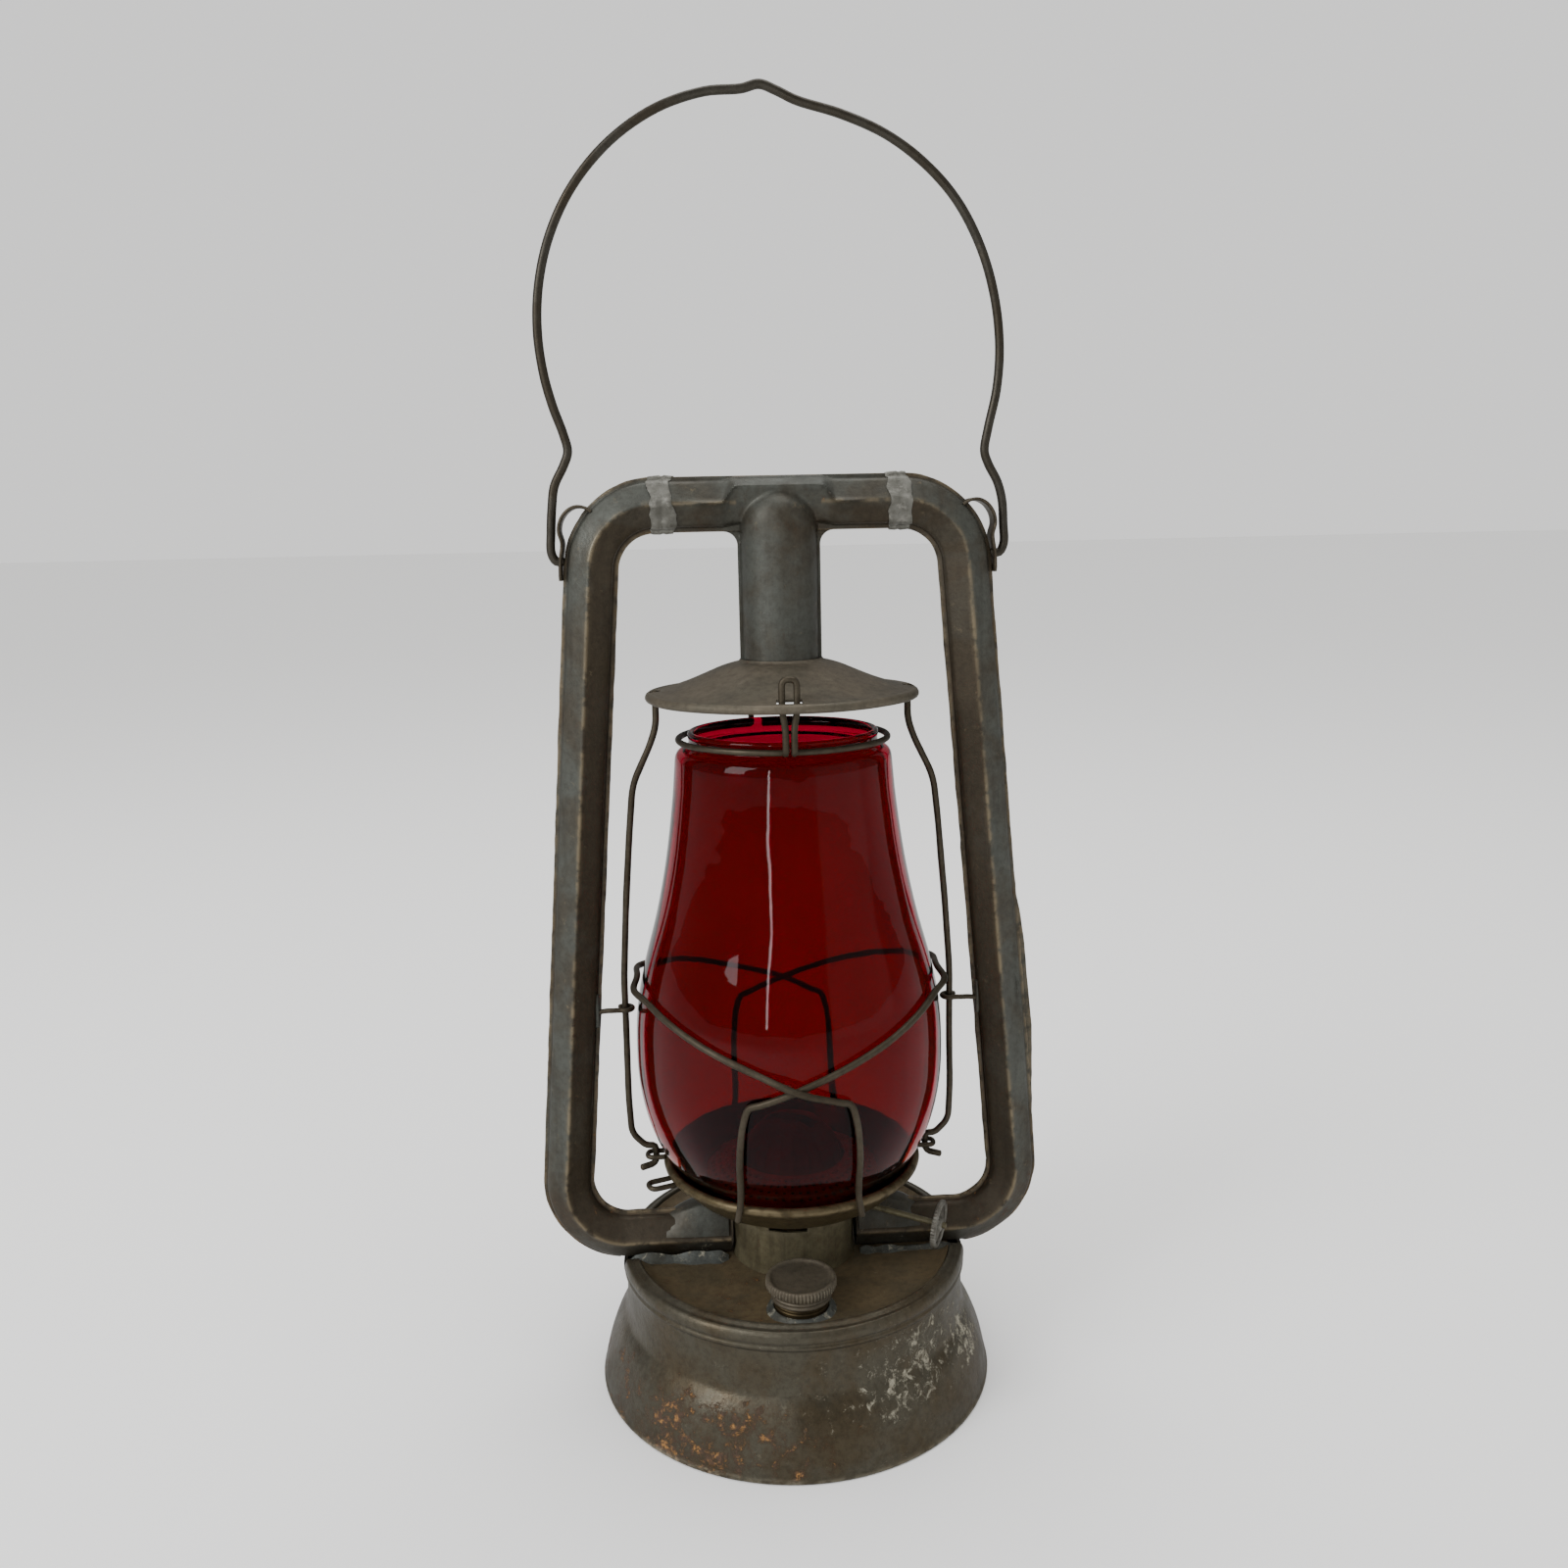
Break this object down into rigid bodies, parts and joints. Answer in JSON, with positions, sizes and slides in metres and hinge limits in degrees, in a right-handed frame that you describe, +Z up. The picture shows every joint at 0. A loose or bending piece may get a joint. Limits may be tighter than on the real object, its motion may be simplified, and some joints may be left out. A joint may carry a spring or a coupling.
{
  "type": "lantern",
  "caption": "Tubular kerosene lantern with two hollow side tubes, a pear-shaped red glass globe in a wire guard, a low flared fount and a swinging wire bail.",
  "frame": {"origin": "centre of the base on the ground", "axes": "+Z up, -Y towards the side with the filler cap, +X towards the wick wheel"},
  "size_m": [0.191, 0.1508, 0.4719],
  "materials": {
    "tube_steel": "dull grey galvanised steel with brown patina",
    "canopy_steel": "brownish worn steel",
    "fount_steel": "dark olive oxidised steel with rust at the foot",
    "plate_steel": "olive brown tarnish",
    "solder": "pale ragged solder",
    "wire": "dark rusted wire",
    "burner_brass": "dark tarnished brass",
    "zinc": "dull zinc",
    "ruby_glass": "deep ruby, glossy",
    "cork": "cork",
    "cotton": "woven cotton"
  },
  "bodies": {
    "frame": {"fount_shell": "fount_steel", "fount_top": "fount_steel", "fount_bottom": "fount_steel", "air_chamber": "fount_steel", "right_tube_front": "tube_steel", "right_tube_rear": "tube_steel", "left_tube_front": "tube_steel", "left_tube_rear": "tube_steel", "tee_front": "tube_steel", "tee_rear": "tube_steel", "right_tube_hood": "tube_steel", "left_tube_hood": "tube_steel", "right_joint_band": "solder", "left_joint_band": "solder", "canopy": "canopy_steel", "right_bail_ear": "canopy_steel", "left_bail_ear": "canopy_steel", "right_guide_eye": "wire", "left_guide_eye": "wire", "filler_neck": "burner_brass", "burner_body": "burner_brass", "burner_cone": "burner_brass", "wick_tube": "burner_brass"},
    "bail": {"bail": "wire"},
    "globe_carrier": {"globe": "ruby_glass", "globe_plate": "plate_steel", "perforated_dome": "plate_steel", "lift_loop": "wire", "right_plate_eye": "wire", "left_plate_eye": "wire", "right_side_wire": "wire", "left_side_wire": "wire", "right_guard_hoop": "wire", "left_guard_hoop": "wire"},
    "globe_ring": {"retainer_ring": "wire"},
    "cap_seal": {"filler_gasket": "cork"},
    "cap": {"filler_cap": "burner_brass"},
    "wick": {"wick": "cotton"},
    "wick_drive": {"wick_spindle": "zinc", "wick_sprocket_inner": "zinc", "wick_sprocket_outer": "zinc", "wick_wheel": "zinc"}
  },
  "joints": [
    {"name": "bail_swing", "type": "hinge", "parent": "frame", "child": "bail", "pos_m": [0, 0, 0.314], "axis": [1, 0, 0], "range_deg": [-155, 155]},
    {"name": "globe_lift", "type": "slide", "parent": "frame", "child": "globe_carrier", "axis": [0, 0, 1], "range_m": [0, 0.009]},
    {"name": "ring_lift", "type": "slide", "parent": "globe_carrier", "child": "globe_ring", "axis": [0, 0, 1], "range_m": [0, 0.006]},
    {"name": "cap_rise", "type": "slide", "parent": "frame", "child": "cap_seal", "axis": [0, 0, 1], "range_m": [0, 0.0068]},
    {"name": "cap_turn", "type": "hinge", "parent": "cap_seal", "child": "cap", "pos_m": [0, -0.044, 0.055], "axis": [0, 0, 1], "range_deg": [0, 810]},
    {"name": "wick_turn", "type": "hinge", "parent": "frame", "child": "wick_drive", "pos_m": [0.00187, 0.00398, 0.07], "axis": [0.9005, -0.4237, -0.0976], "range_deg": [-85, 135]},
    {"name": "wick_feed", "type": "slide", "parent": "frame", "child": "wick", "axis": [0, 0, 1], "range_m": [-0.0081, 0.0052]}
  ],
  "couplings": [
    {"joint": "cap_rise", "follows": "cap_turn", "m_per_rad": 0.00047746},
    {"joint": "wick_feed", "follows": "wick_turn", "m_per_rad": -0.0034}
  ]
}
